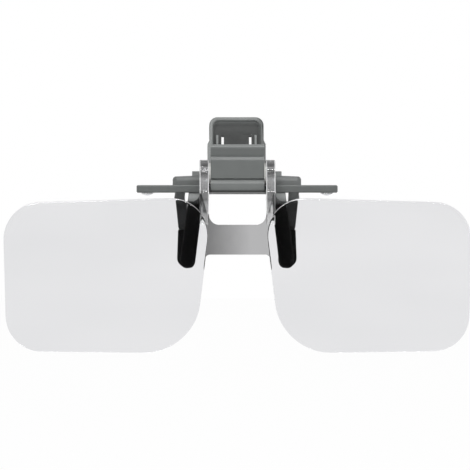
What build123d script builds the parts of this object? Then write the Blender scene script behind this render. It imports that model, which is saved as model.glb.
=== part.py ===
from build123d import *
import math
import os

os.makedirs("parts", exist_ok=True)

# Clip-on flip-up eyeglass loupe, in millimetres.
# The origin is the point between the rubber tips of the two closed jaws, on the middle plane.
# +X is the wearer's left as seen from the front, +Y runs back towards the eyes, +Z is up.
# The plane y = 0 is the plane of the spectacle lenses that the jaws pinch.

# Brow bar: the long bar that lies along the top of the spectacle frame
bar_height = 16.55
bar_length = 48.4
bar_thick = 1.85
bar_depth = 2.5
bar_edge_round = 0.3
bar_end_chamfer = 0.25
jaw_parting = 0.5

# Flip joint: the pin that carries the two ears of the lens
flip_rise = 2.85
flip_pin_dia = 2.0
ear_gap = 13.7
ear_thick = 2.25
ear_wall = 2.2
ear_clearance = 0.25
barrel_wall = 0.9
washer_thick = 0.35
washer_brim = 0.6
washer_play = 0.05

# Jaw hinge: the pin between the two jaws and the torsion spring on it
hinge_rise = 1.95
hinge_setback = 2.2
hinge_pin_dia = 1.6
hinge_pin_inset = 0.3
knuckle_wall = 0.6
boss_show = 1.7
boss_chamfer = 0.35
hinge_side_gap = 0.3
spring_bay = 6.6
spring_wire = 0.6
spring_coil_play = 0.25
spring_pitch = 1.05
spring_full_turns = 3
spring_seat_gap = 0.05
front_leg_rest_drop = 0.2
rear_leg_length = 6.6

# Running and pressed fits, on the radius
pin_play = 0.04
press_play = 0.01

# Front jaw: the short thumb tab and the rounded lip between the ears
front_tab_rise = 6.9
front_tab_bend_drop = 3.05
front_tab_flare = 1.5
front_tab_thick = 1.4
front_tab_bend_radius = 3.0
lip_height = 3.5
lip_reach = 0.75
lip_flat = 0.7
lip_wall = 1.3
lip_hollow_depth = 0.9

# Rear jaw: the shoulders behind the bar and the tall thumb tab
shoulder_margin = 0.55
shoulder_rise = 2.1
shoulder_thick = 1.6
shoulder_corner = 0.9
cradle_drop = 0.05
cheek_thick = 1.45
cheek_rise = 2.1
floor_thick = 1.2
rear_tab_rise = 14.55
rear_tab_lean = 17.0
rear_tab_thick = 1.3
rear_tab_cheek_lap = 0.3
rear_tab_step_width = 0.45
rear_tab_step_drop = 6.9
rear_tab_corner = 2.0
rim_width = 0.95
rim_rise = 1.2
rim_start = 3.6
slot_width = 0.6
slot_spacing = 6.7
slot_top_drop = 4.5
slot_length = 6.5
rib_width = 0.5
rib_rise = 0.5
rib_offset = 1.3

# Fingers: grey arms that end in rubber sleeves
tip_spread = 24.2
tip_gap = 0.3
finger_tip_lean = 13.6
front_root_spread = 20.0
rear_root_spread = 27.4
front_arm_width = 3.3
rear_arm_width = 2.5
arm_depth = 1.5
arm_corner = 0.35
core_width = 1.9
core_depth = 1.2
core_corner = 0.3
sleeve_width = 3.5
sleeve_depth = 2.7
sleeve_flat = 0.3
sleeve_end_ease = 0.2
sleeve_mouth_round = 0.3
sleeve_fit = 0.03
sleeve_end_wall = 1.0
sleeve_drop = 1.65
front_arm_length = 2.65
rear_arm_length = 9.15

# Bar pads: small clear bumpers under the ends of the brow bar
pad_end_inset = 2.6
pad_width = 3.1
pad_drop = 0.62
pad_inset = 0.25
pad_peg_dia = 1.1
pad_peg_height = 0.9

# Twin lens: one clear moulding with two lenses, a bridge and two ears
lens_spacing = 63.0
lens_reach = 56.2
lens_height = 37.5
crown_below_bar = 0.95
lens_crown_slope = 1.5
lens_base_rise = 0.6
lens_inner_top = 5.9
lens_inner_base = 10.7
lens_outer_taper = 0.9
lens_inner_top_round = 9.2
lens_outer_top_round = 7.6
lens_outer_base_round = 6.5
lens_inner_base_round = 15.0
lens_centre_drop = 18.8
lens_standoff = 8.0
lens_thick = 3.2
lens_curve_radius = 280.0
plate_thick = 1.45
bridge_drop = 6.7
bridge_height = 7.15
bridge_top_round = 2.4
bridge_base_round = 1.2
web_drop = 1.1
web_length = 3.9
web_ear_flat = 0.15
ear_foot_rise = 0.4
ear_neck_angle = 35.0
ear_stop_gap = 0.25
ear_bend_round = 2.0
ear_toe_round = 0.9

# A cut that goes right through runs this far past the wall on both sides
overrun = 1.0

# Places worked out from the sizes above
bar_top = bar_height + bar_thick
front_face = -jaw_parting / 2
rear_face = jaw_parting / 2
bar_front = front_face - bar_depth
bar_middle = front_face - bar_depth / 2
ear_radius = flip_pin_dia / 2 + ear_wall
ear_outer = ear_gap / 2 + ear_thick
barrel_dia = flip_pin_dia + 2 * barrel_wall
washer_dia = barrel_dia + 2 * washer_brim
flip_z = bar_top + flip_rise
flip_y = bar_front - math.sqrt((ear_radius + ear_clearance) ** 2 - flip_rise**2)
block_half = ear_gap / 2 - washer_play - washer_thick
knuckle_outer = block_half
knuckle_dia = hinge_pin_dia + 2 * knuckle_wall
boss_reach = ear_outer + boss_show
hinge_height = bar_top + hinge_rise
coil_radius = (hinge_pin_dia + spring_wire) / 2 + spring_coil_play
tab_floor_offset = coil_radius + spring_wire / 2 + spring_seat_gap
pad_place = bar_length / 2 - pad_end_inset

# Front tab, with its middle plane, and the round of the lip under it
tab_face = flip_y - barrel_dia / 2
tab_middle = tab_face + front_tab_thick / 2
front_tab_height = flip_z + front_tab_rise
front_tab_bend_height = front_tab_height - front_tab_bend_drop
lip_round = (lip_height - lip_flat) / 2

# Rear jaw heights and widths
cheek_inner = knuckle_outer + hinge_side_gap
cheek_outer = cheek_inner + cheek_thick
shoulder_half = (rear_root_spread + rear_arm_width) / 2 + shoulder_margin
shoulder_height = bar_top + shoulder_rise
cradle_height = bar_top - cradle_drop
cheek_height = shoulder_height + cheek_rise
rear_tab_height = hinge_height + rear_tab_rise
rear_tab_low_width = 2 * (cheek_inner + rear_tab_cheek_lap)
rear_tab_top_width = rear_tab_low_width - 2 * rear_tab_step_width

# Sleeves
front_sleeve_top = bar_height - front_arm_length
rear_sleeve_top = bar_height - rear_arm_length
sleeve_corner = (sleeve_depth - sleeve_flat) / 2
sleeve_end_round = sleeve_corner - sleeve_end_ease

# The rear tab's floor is a plane that leans back and keeps clear of the spring
lean_sin = math.sin(math.radians(rear_tab_lean))
lean_cos = math.cos(math.radians(rear_tab_lean))
floor_y = hinge_setback + tab_floor_offset * lean_cos
floor_z = hinge_height - tab_floor_offset * lean_sin
tab_floor = Plane((0, floor_y, floor_z), x_dir=(1, 0, 0), z_dir=(0, -lean_cos, lean_sin))


def up_the_tab(height):
    """Distance along the leaning floor of the rear tab up to a height."""
    return (height - floor_z) / lean_cos


tab_top = up_the_tab(rear_tab_height - rim_rise * lean_sin)
tab_step = up_the_tab(rear_tab_height - rear_tab_step_drop)


def tab_corners(foot):
    """Corners of the rear tab on its floor, from a foot up, with a step to a narrower top."""
    step_end = tab_step + 2 * rear_tab_step_width
    right_side = [
        (rear_tab_low_width / 2, foot),
        (rear_tab_low_width / 2, tab_step),
        (rear_tab_top_width / 2, step_end),
        (rear_tab_top_width / 2, tab_top),
    ]
    left_side = [(-x, y) for x, y in reversed(right_side)]
    return right_side + left_side


# The fingers run from a root in the jaw to a tip at the grip, and bow away from the grip plane
finger_bow = bar_height * math.tan(math.radians(finger_tip_lean)) / 4
tip_offset = tip_gap / 2 + sleeve_depth / 2
front_root = Vector(front_root_spread / 2, bar_middle, bar_height)
front_tip = Vector(tip_spread / 2, -tip_offset, 0)
rear_root = Vector(rear_root_spread / 2, rear_face + shoulder_thick / 2, bar_height)
rear_tip = Vector(tip_spread / 2, tip_offset, 0)
slice_shares = (0, 0.5, 1)


def finger_slices(root, tip, bow, top, bottom, width, depth, corner):
    """Level cross sections of a bowed finger between two heights, for a loft."""
    slices = []
    for slice_share in slice_shares:
        height = top + (bottom - top) * slice_share
        rise = (height - tip.Z) / (root.Z - tip.Z)
        centre = tip + (root - tip) * rise
        bulge = 4 * bow * rise * (1 - rise)
        with BuildSketch(Plane((centre.X, centre.Y + bulge, height))) as level:
            RectangleRounded(width, depth, corner)
        slices.append(level.sketch)
    return slices


def finger_core(root, tip, bow, top, fit):
    """The tongue inside a rubber sleeve, larger all round by the fit."""
    bottom = -sleeve_drop + sleeve_end_wall - fit
    width = core_width + 2 * fit
    depth = core_depth + 2 * fit
    return finger_slices(root, tip, bow, top, bottom, width, depth, core_corner)


def rubber_sleeve(root, tip, bow, top):
    """A closed rubber sleeve on the right finger of a jaw."""
    with BuildPart() as sleeve:
        outer = finger_slices(
            root, tip, bow, top, -sleeve_drop, sleeve_width, sleeve_depth, sleeve_corner
        )
        loft(outer)
        ends = sleeve.faces().filter_by(GeomType.PLANE).sort_by(Axis.Z)
        fillet(ends[0].edges(), sleeve_end_round)
        mouth = sleeve.faces().filter_by(GeomType.PLANE).sort_by(Axis.Z)[-1]
        fillet(mouth.edges(), sleeve_mouth_round)
        loft(finger_core(root, tip, bow, top, sleeve_fit), mode=Mode.SUBTRACT)
    return sleeve.part


# Front jaw: brow bar, lip, thumb tab, flip barrel, hinge knuckles and two fingers
with BuildPart() as front_jaw:
    # Right finger: an arm down to the mouth of its sleeve, then the tongue inside it
    loft(
        finger_slices(
            front_root, front_tip, -finger_bow, bar_height + bar_thick / 2,
            front_sleeve_top, front_arm_width, arm_depth, arm_corner,
        )
    )
    loft(finger_core(front_root, front_tip, -finger_bow, front_sleeve_top, 0))
    # Right hinge knuckle, with the web that ties it to the flip barrel
    with BuildSketch(Plane.YZ.offset(spring_bay / 2)):
        with Locations((flip_y, flip_z)):
            Circle(barrel_dia / 2)
        with Locations((hinge_setback, hinge_height)):
            Circle(knuckle_dia / 2)
        make_hull()
    extrude(amount=knuckle_outer - spring_bay / 2)
    mirror(about=Plane.YZ)
    # Brow bar
    with BuildSketch(Plane.YZ):
        with Locations((bar_middle, bar_height + bar_thick / 2)):
            RectangleRounded(bar_depth, bar_thick, bar_edge_round)
    extrude(amount=bar_length / 2, both=True)
    bar_ends = front_jaw.faces().filter_by(Axis.X).sort_by(Axis.X)
    chamfer(bar_ends[0].edges() + bar_ends[-1].edges(), bar_end_chamfer)
    # Rounded lip in front of the bar, between the ears
    with BuildSketch(Plane.YZ) as lip_section:
        with BuildLine():
            Polyline(
                (front_face, bar_height),
                (tab_face - lip_reach, bar_height),
                (tab_face - lip_reach, bar_height + lip_height),
                (flip_y, bar_height + lip_height),
                (front_face, bar_top),
                close=True,
            )
        make_face()
        fillet(lip_section.vertices().group_by(Axis.X)[0], lip_round)
    extrude(amount=block_half, both=True)
    # Flip barrel
    with BuildSketch(Plane.YZ):
        with Locations((flip_y, flip_z)):
            Circle(barrel_dia / 2)
    extrude(amount=block_half, both=True)
    # Thumb tab: upright in front of the barrel, then bent forward
    with BuildSketch(Plane.YZ):
        with BuildLine():
            FilletPolyline(
                (tab_middle, bar_height + lip_height / 2),
                (tab_middle, front_tab_bend_height),
                (tab_middle - front_tab_flare, front_tab_height - front_tab_thick / 2),
                radius=front_tab_bend_radius,
            )
            offset(amount=front_tab_thick / 2, side=Side.BOTH)
        make_face()
    extrude(amount=block_half, both=True)
    # Hollow under the lip
    with BuildSketch(Plane.XY.offset(bar_height)):
        hollow_front = tab_face - lip_reach + lip_wall
        hollow_back = front_face - lip_wall
        with Locations((0, (hollow_front + hollow_back) / 2)):
            Rectangle(2 * (block_half - lip_wall), hollow_back - hollow_front)
    extrude(amount=lip_hollow_depth, mode=Mode.SUBTRACT)
    # Bore for the flip pin, and the looser bore for the hinge pin
    with BuildSketch(Plane.YZ):
        with Locations((flip_y, flip_z)):
            Circle(flip_pin_dia / 2 + press_play)
        with Locations((hinge_setback, hinge_height)):
            Circle(hinge_pin_dia / 2 + pin_play)
    extrude(amount=block_half + overrun, both=True, mode=Mode.SUBTRACT)
    # Blind holes for the pegs of the bar pads
    with BuildSketch(Plane.XY.offset(bar_height)):
        with Locations((pad_place, bar_middle), (-pad_place, bar_middle)):
            Circle(pad_peg_dia / 2 + press_play)
    extrude(amount=pad_peg_height + press_play, mode=Mode.SUBTRACT)

front_jaw.part.label = "front_jaw"
export_step(front_jaw.part, "parts/front_jaw.step")

# Rear jaw: shoulders, cheeks with hinge bosses, floor, leaning thumb tab and two fingers
with BuildPart() as rear_jaw:
    # Right finger
    loft(
        finger_slices(
            rear_root, rear_tip, finger_bow, bar_height + bar_thick / 2,
            rear_sleeve_top, rear_arm_width, arm_depth, arm_corner,
        )
    )
    loft(finger_core(rear_root, rear_tip, finger_bow, rear_sleeve_top, 0))
    # Right shoulder
    with BuildSketch(Plane.XZ.offset(-rear_face)) as shoulder_face:
        with BuildLine():
            Polyline(
                (0, bar_height),
                (shoulder_half, bar_height),
                (shoulder_half, shoulder_height),
                (cheek_inner, shoulder_height),
                (cheek_inner, cradle_height),
                (0, cradle_height),
                close=True,
            )
        make_face()
        shoulder_ends = shoulder_face.vertices().group_by(Axis.X)[-1]
        fillet(shoulder_ends.sort_by(Axis.Y)[-1], shoulder_corner)
    extrude(amount=-shoulder_thick)
    # Right hinge boss, which shows outside the ear
    with BuildSketch(Plane.YZ.offset(cheek_inner)):
        with Locations((hinge_setback, hinge_height)):
            Circle(knuckle_dia / 2)
    extrude(amount=boss_reach - cheek_inner)
    chamfer(rear_jaw.edges().filter_by(GeomType.CIRCLE).sort_by(Axis.X)[-1], boss_chamfer)
    # Right cheek, from the shoulder back to the tab's floor
    tab_back_y = floor_y + rear_tab_thick / lean_cos
    with BuildSketch(Plane.YZ.offset(cheek_inner)):
        with BuildLine():
            Polyline(
                (rear_face, bar_height),
                (tab_back_y, bar_height),
                (tab_back_y + (cheek_height - floor_z) * lean_sin / lean_cos, cheek_height),
                (hinge_setback, cheek_height - (cheek_height - shoulder_height) / 2),
                (rear_face, shoulder_height),
                close=True,
            )
        make_face()
    extrude(amount=cheek_thick)
    mirror(about=Plane.YZ)
    # Floor under the spring, which joins the shoulders to the tab
    with BuildSketch(Plane.XY.offset(bar_height)):
        with BuildLine():
            Polyline(
                (-cheek_outer, rear_face),
                (cheek_outer, rear_face),
                (cheek_outer, tab_back_y),
                (-cheek_outer, tab_back_y),
                close=True,
            )
        make_face()
    extrude(amount=floor_thick)
    # Thumb tab with a raised rim, on its leaning plane
    with BuildSketch(tab_floor.offset(-rear_tab_thick)) as tab_outline:
        with BuildLine():
            Polyline(tab_corners(up_the_tab(bar_height)), close=True)
        make_face()
        fillet(tab_outline.vertices().group_by(Axis.Y)[-1], rear_tab_corner)
    extrude(amount=rear_tab_thick)
    with BuildSketch(tab_floor) as rim_outline:
        with BuildLine():
            Polyline(tab_corners(rim_start), close=True)
        make_face()
        fillet(rim_outline.vertices().group_by(Axis.Y)[-1], rear_tab_corner)
        with Locations((0, (rim_start - overrun + tab_top - rim_width) / 2)):
            Rectangle(
                rear_tab_top_width - 2 * rim_width,
                tab_top - rim_width - rim_start + overrun,
                mode=Mode.SUBTRACT,
            )
    extrude(amount=rim_rise)
    # Two slots through the tab and a low rib outside each
    slot_top = up_the_tab(rear_tab_height - slot_top_drop)
    with BuildSketch(tab_floor):
        with Locations(
            (slot_spacing / 2 + rib_offset, slot_top - slot_length / 2),
            (-slot_spacing / 2 - rib_offset, slot_top - slot_length / 2),
        ):
            Rectangle(rib_width, slot_length)
    extrude(amount=rib_rise)
    with BuildSketch(tab_floor.offset(overrun)):
        with Locations(
            (slot_spacing / 2, slot_top - slot_length / 2),
            (-slot_spacing / 2, slot_top - slot_length / 2),
        ):
            Rectangle(slot_width, slot_length)
    extrude(amount=-(rear_tab_thick + 2 * overrun), mode=Mode.SUBTRACT)
    # Bore for the hinge pin
    with BuildSketch(Plane.YZ):
        with Locations((hinge_setback, hinge_height)):
            Circle(hinge_pin_dia / 2 + press_play)
    extrude(amount=boss_reach + overrun, both=True, mode=Mode.SUBTRACT)

rear_jaw.part.label = "rear_jaw"
export_step(rear_jaw.part, "parts/rear_jaw.step")

# Twin lens: plate, two domed lenses and two ears in one clear moulding
plate_front = lens_standoff + plate_thick
lens_crown = bar_height - crown_below_bar
lens_base = lens_crown - lens_height
bridge_top = lens_crown - bridge_drop
bridge_base = bridge_top - bridge_height
web_height = lens_crown - web_drop
web_reach = ear_outer + web_length
web_round = bar_height - web_height - web_ear_flat
ear_foot_height = bridge_top + ear_foot_rise
inner_top = (lens_inner_top, lens_crown)
outer_top = (lens_reach, lens_crown - lens_crown_slope)
outer_base = (lens_reach - lens_outer_taper, lens_base + lens_base_rise)
inner_base = (lens_inner_base, lens_base)


def inner_edge(height):
    """How far the inner edge of a lens lies from the middle at a height."""
    fall_share = (lens_crown - height) / lens_height
    return lens_inner_top + (lens_inner_base - lens_inner_top) * fall_share


def lens_face():
    """Outline of the right lens, filled, with a different round at each corner."""
    with BuildSketch() as face:
        with BuildLine():
            Polyline(inner_top, outer_top, outer_base, inner_base, close=True)
        make_face()
        for corner, round_size in (
            (inner_top, lens_inner_top_round),
            (outer_top, lens_outer_top_round),
            (outer_base, lens_outer_base_round),
            (inner_base, lens_inner_base_round),
        ):
            fillet(face.vertices().sort_by_distance(corner)[0], round_size)
    return face.sketch


with BuildPart() as twin_lens:
    # Right lens: flat behind, domed in front
    with BuildSketch(Plane.XZ.offset(lens_standoff)):
        add(lens_face())
    extrude(amount=lens_thick)
    curve_centre_y = lens_curve_radius - lens_standoff - lens_thick
    with Locations((lens_spacing / 2, curve_centre_y, lens_crown - lens_centre_drop)):
        Sphere(lens_curve_radius, mode=Mode.INTERSECT)
    # Right ear: a plate that reaches from the lens back and up to the flip pin
    neck = math.radians(ear_neck_angle)
    ear_toe_y = bar_front - ear_stop_gap
    with BuildSketch(Plane.YZ.offset(ear_gap / 2)) as ear_side:
        with BuildLine():
            Polyline(
                (flip_y - ear_radius, flip_z),
                (-plate_front, bar_height),
                (-plate_front, bridge_base),
                (-lens_standoff, bridge_base),
                (-lens_standoff, ear_foot_height),
                (ear_toe_y, bar_height),
                (ear_toe_y, bar_top),
                (flip_y + ear_radius * math.cos(neck), flip_z - ear_radius * math.sin(neck)),
                (flip_y, flip_z),
                close=True,
            )
        make_face()
        for corner, round_size in (
            ((-lens_standoff, ear_foot_height), ear_bend_round),
            ((-plate_front, bar_height), ear_bend_round),
            ((ear_toe_y, bar_height), ear_toe_round),
        ):
            fillet(ear_side.vertices().sort_by_distance(corner)[0], round_size)
        with Locations((flip_y, flip_z)):
            Circle(ear_radius)
    extrude(amount=ear_thick)
    mirror(about=Plane.YZ)
    # Plate: both lens outlines, the bridge, and the webs beside the ears
    with BuildSketch(Plane.XZ.offset(lens_standoff)) as plate_face:
        add(lens_face())
        with BuildLine():
            Polyline(
                (ear_gap / 2, bridge_top),
                (ear_gap / 2, bar_height),
                (ear_outer, bar_height),
                (ear_outer, web_height),
                (web_reach, web_height),
                (web_reach, bridge_top),
                close=True,
            )
        make_face()
        web_corner = (ear_outer, web_height)
        fillet(plate_face.vertices().sort_by_distance(web_corner)[0], web_round)
        mirror(about=Plane.YZ)
        bridge_half = inner_edge(bridge_base) + overrun
        with Locations((0, (bridge_top + bridge_base) / 2)):
            Rectangle(2 * bridge_half, bridge_top - bridge_base)
        for side in (1, -1):
            top_corner = (side * ear_gap / 2, bridge_top)
            fillet(plate_face.vertices().sort_by_distance(top_corner)[0], bridge_top_round)
            base_corner = (side * inner_edge(bridge_base), bridge_base)
            fillet(plate_face.vertices().sort_by_distance(base_corner)[0], bridge_base_round)
    extrude(amount=plate_thick)
    # Holes for the flip pin
    with BuildSketch(Plane.YZ):
        with Locations((flip_y, flip_z)):
            Circle(flip_pin_dia / 2 + pin_play)
    extrude(amount=ear_outer + overrun, both=True, mode=Mode.SUBTRACT)

twin_lens.part.label = "twin_lens"
export_step(twin_lens.part, "parts/twin_lens.step")

# Flip pin, pressed through the barrel, with the ears turning on its ends
with BuildPart() as flip_pin:
    with BuildSketch(Plane.YZ):
        with Locations((flip_y, flip_z)):
            Circle(flip_pin_dia / 2)
    extrude(amount=ear_outer, both=True)

flip_pin.part.label = "flip_pin"
export_step(flip_pin.part, "parts/flip_pin.step")

# Hinge pin, pressed into the bosses of the rear jaw
with BuildPart() as hinge_pin:
    with BuildSketch(Plane.YZ):
        with Locations((hinge_setback, hinge_height)):
            Circle(hinge_pin_dia / 2)
    extrude(amount=boss_reach - hinge_pin_inset, both=True)

hinge_pin.part.label = "hinge_pin"
export_step(hinge_pin.part, "parts/hinge_pin.step")

# Friction washers between the barrel and the ears
for side_name, side in (("left", -1), ("right", 1)):
    with BuildPart() as friction_washer:
        with BuildSketch(Plane.YZ.offset(side * block_half)):
            with Locations((flip_y, flip_z)):
                Circle(washer_dia / 2)
                Circle(flip_pin_dia / 2 + press_play, mode=Mode.SUBTRACT)
        extrude(amount=side * washer_thick)
    friction_washer.part.label = "friction_washer_" + side_name
    export_step(friction_washer.part, "parts/friction_washer_" + side_name + ".step")

# Rubber sleeves on the four fingers
right_front_sleeve = rubber_sleeve(front_root, front_tip, -finger_bow, front_sleeve_top)
right_rear_sleeve = rubber_sleeve(rear_root, rear_tip, finger_bow, rear_sleeve_top)
for jaw_name, right_sleeve in (("front", right_front_sleeve), ("rear", right_rear_sleeve)):
    for side_name in ("right", "left"):
        with BuildPart() as sleeve_piece:
            if side_name == "right":
                add(right_sleeve)
            else:
                mirror(right_sleeve, about=Plane.YZ)
        sleeve_piece.part.label = jaw_name + "_sleeve_" + side_name
        export_step(sleeve_piece.part, "parts/" + jaw_name + "_sleeve_" + side_name + ".step")

# Bar pads: a bumper with a rounded underside and a peg in the bar
for side_name, side in (("left", -1), ("right", 1)):
    with BuildPart() as bar_pad:
        with BuildSketch(Plane.XZ.offset(-front_face + pad_inset)):
            with BuildLine():
                pad_x = side * pad_place
                ThreePointArc(
                    (pad_x - pad_width / 2, bar_height),
                    (pad_x, bar_height - pad_drop),
                    (pad_x + pad_width / 2, bar_height),
                )
                Line((pad_x + pad_width / 2, bar_height), (pad_x - pad_width / 2, bar_height))
            make_face()
        extrude(amount=bar_depth - 2 * pad_inset)
        with BuildSketch(Plane.XY.offset(bar_height)):
            with Locations((pad_x, bar_middle)):
                Circle(pad_peg_dia / 2)
        extrude(amount=pad_peg_height)
    bar_pad.part.label = "bar_pad_" + side_name
    export_step(bar_pad.part, "parts/bar_pad_" + side_name + ".step")

# Torsion spring: two straight legs and a coil, one unbroken wire.
# The rear leg lies on the floor of the rear tab, the front leg ends at the back of the front tab.
leg_end_y = tab_face + front_tab_thick + spring_seat_gap + spring_wire / 2
leg_end_z = front_tab_bend_height - front_leg_rest_drop
leg_run = hinge_setback - leg_end_y
leg_rise = leg_end_z - hinge_height
leg_far = math.hypot(leg_run, leg_rise)
front_leg_length = math.sqrt(leg_far**2 - coil_radius**2)
front_leg_lean = math.degrees(math.atan2(leg_run, leg_rise) - math.asin(coil_radius / leg_far))

# The coil is a chain of biarcs, a quarter turn each
start_angle = rear_tab_lean
end_angle = 360 * spring_full_turns + 180 - front_leg_lean
quarter_count = math.ceil((end_angle - start_angle) / 90)
coil_width = spring_pitch * (end_angle - start_angle) / 360


def coil_point(angle):
    """A point of the coil's centre line, by its angle in degrees."""
    turn = math.radians(angle)
    x = spring_pitch * (angle - start_angle) / 360 - coil_width / 2
    y = hinge_setback + coil_radius * math.cos(turn)
    z = hinge_height - coil_radius * math.sin(turn)
    return Vector(x, y, z)


def coil_tangent(angle):
    """The direction of the wire at that angle."""
    turn = math.radians(angle)
    along = spring_pitch / (2 * math.pi)
    return Vector(along, -coil_radius * math.sin(turn), -coil_radius * math.cos(turn)).normalized()


def biarc_joint(start, start_way, end, end_way):
    """Where the two arcs of a biarc meet, and the direction there."""
    gap = end - start
    ways = start_way + end_way
    spread = 2 * (1 - start_way.dot(end_way))
    reach = (math.sqrt(gap.dot(ways) ** 2 + spread * gap.dot(gap)) - gap.dot(ways)) / spread
    first = start + start_way * reach
    second = end - end_way * reach
    return (first + second) * 0.5, (second - first).normalized()


with BuildPart() as torsion_spring:
    with BuildLine():
        coil_start = coil_point(start_angle)
        coil_end = coil_point(end_angle)
        start_way = coil_tangent(start_angle)
        end_way = coil_tangent(end_angle)
        Line(coil_start - start_way * rear_leg_length, coil_start)
        for quarter in range(quarter_count):
            share_from = quarter / quarter_count
            share_to = (quarter + 1) / quarter_count
            angle_from = start_angle + (end_angle - start_angle) * share_from
            angle_to = start_angle + (end_angle - start_angle) * share_to
            joint, joint_way = biarc_joint(
                coil_point(angle_from),
                coil_tangent(angle_from),
                coil_point(angle_to),
                coil_tangent(angle_to),
            )
            TangentArc(coil_point(angle_from), joint, tangent=coil_tangent(angle_from))
            TangentArc(joint, coil_point(angle_to), tangent=joint_way)
        Line(coil_end, coil_end + end_way * front_leg_length)
    with BuildSketch(Plane(coil_start - start_way * rear_leg_length, z_dir=start_way)):
        Circle(spring_wire / 2)
    sweep()

torsion_spring.part.label = "torsion_spring"
export_step(torsion_spring.part, "parts/torsion_spring.step")

least_gap = min(
    (coil_point(a) - coil_point(b)).length - spring_wire
    for a in range(int(start_angle), int(end_angle), 15)
    for b in range(int(start_angle), int(end_angle), 15)
    if b - a > 180
)
print("least gap between the turns of the spring:", round(least_gap, 3))
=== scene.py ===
# %% [markdown]
# # A clip-on flip-up eyeglass loupe
# Two clear magnifying lenses are moulded in one piece with a bridge and two upright ears.
# A small grey sprung clip carries them on a steel pin and grips the bridge of a pair of spectacles
# with four fingers in black rubber sleeves. The measured model of the clip is loaded first, and
# everything that follows is a finish for one of its parts, or a finer shape laid over it.

# %% Load the measured model
import math

import bmesh
import bpy
from mathutils import Matrix, Vector


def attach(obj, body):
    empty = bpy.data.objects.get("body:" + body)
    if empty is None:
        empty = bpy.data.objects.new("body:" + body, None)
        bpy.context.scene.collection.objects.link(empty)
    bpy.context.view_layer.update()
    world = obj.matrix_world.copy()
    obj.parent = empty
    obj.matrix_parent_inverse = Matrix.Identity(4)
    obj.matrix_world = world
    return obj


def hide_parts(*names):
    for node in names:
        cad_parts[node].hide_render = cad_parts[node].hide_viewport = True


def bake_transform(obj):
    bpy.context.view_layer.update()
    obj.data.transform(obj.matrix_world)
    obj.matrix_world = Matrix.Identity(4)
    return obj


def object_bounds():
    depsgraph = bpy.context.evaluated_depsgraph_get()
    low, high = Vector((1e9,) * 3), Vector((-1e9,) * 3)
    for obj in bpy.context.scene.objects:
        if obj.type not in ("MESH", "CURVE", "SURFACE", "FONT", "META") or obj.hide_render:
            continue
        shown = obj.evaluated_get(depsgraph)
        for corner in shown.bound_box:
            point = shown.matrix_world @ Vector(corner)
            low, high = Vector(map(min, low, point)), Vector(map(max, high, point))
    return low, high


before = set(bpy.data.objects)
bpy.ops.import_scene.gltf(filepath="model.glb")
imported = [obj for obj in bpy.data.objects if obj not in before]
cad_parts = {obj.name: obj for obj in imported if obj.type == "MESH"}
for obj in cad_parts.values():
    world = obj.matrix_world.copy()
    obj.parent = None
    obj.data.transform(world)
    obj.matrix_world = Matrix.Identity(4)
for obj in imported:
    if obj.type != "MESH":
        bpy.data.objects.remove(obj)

model_low, model_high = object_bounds()
print("parts in the measured model:", ", ".join(sorted(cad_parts)))
print("box in mm:", [round(c * 1000, 1) for c in (*model_low, *model_high)])

# %% [markdown]
# ## One piece at a time
# Blender's tools act on whatever is selected, and a freshly loaded model is selected all over. So
# each step first lets go of everything and then picks the one piece it works on. The small pieces
# are modelled with numbers in millimetres, because the tools' own tolerances suit numbers of that
# size, and are brought to metres when they are done.

# %% Picking a piece, and points, edges or faces on it
MM = 0.001


def pick(piece):
    """Let go of everything and pick one piece, in object mode."""
    if bpy.context.mode != "OBJECT":
        bpy.ops.object.mode_set(mode="OBJECT")
    bpy.ops.object.select_all(action="DESELECT")
    piece.select_set(True)
    bpy.context.view_layer.objects.active = piece


def edit(piece, kind="FACE"):
    """Open a piece in edit mode with nothing selected."""
    pick(piece)
    bpy.ops.object.mode_set(mode="EDIT")
    bpy.ops.mesh.select_mode(type=kind)
    bpy.ops.mesh.select_all(action="DESELECT")


def choose(piece, wanted):
    """In edit mode, select the points, edges or faces for which wanted() is true."""
    mesh = bmesh.from_edit_mesh(piece.data)
    bpy.ops.mesh.select_all(action="DESELECT")
    kind = bpy.context.tool_settings.mesh_select_mode
    items = mesh.verts if kind[0] else mesh.edges if kind[1] else mesh.faces
    for item in items:
        item.select_set(bool(wanted(item)))
    mesh.select_flush_mode()
    bmesh.update_edit_mesh(piece.data)


def choose_edges(piece, wanted):
    """In edit mode, select the edges with both ends at places for which wanted() is true."""
    choose(piece, lambda edge: all(wanted(point.co) for point in edge.verts))


# %% Steps on the open piece, in edit mode


def merge_points(reach):
    """Merge the points of the open piece that lie within reach of each other."""
    bpy.ops.mesh.select_all(action="SELECT")
    bpy.ops.mesh.remove_doubles(threshold=reach)


def face_outwards():
    """Turn every face of the open piece the right way out."""
    bpy.ops.mesh.select_all(action="SELECT")
    bpy.ops.mesh.normals_make_consistent(inside=False)


def extrude(along):
    """Pull the selected faces of the open piece out along a direction."""
    bpy.ops.mesh.extrude_region_move(TRANSFORM_OT_translate={"value": along})


def soften(width, segments):
    """Round the selected edges of the open piece."""
    bpy.ops.mesh.bevel(offset=width, segments=segments, profile=0.5, affect="EDGES")


# %% Starting a piece
ACROSS, FORWARDS = (0, math.radians(90), 0), (math.radians(90), 0, 0)


def put_in_scene(name, data):
    """A new object with its data, in the scene."""
    thing = bpy.data.objects.new(name, data)
    bpy.context.scene.collection.objects.link(thing)
    return thing


def new_ring(name, points):
    """A filled circle of radius 1 in the level plane, with so many points."""
    bpy.ops.object.select_all(action="DESELECT")
    bpy.ops.mesh.primitive_circle_add(vertices=points, radius=1.0, fill_type="NGON")
    piece = bpy.context.object
    piece.name = name
    return piece


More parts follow.
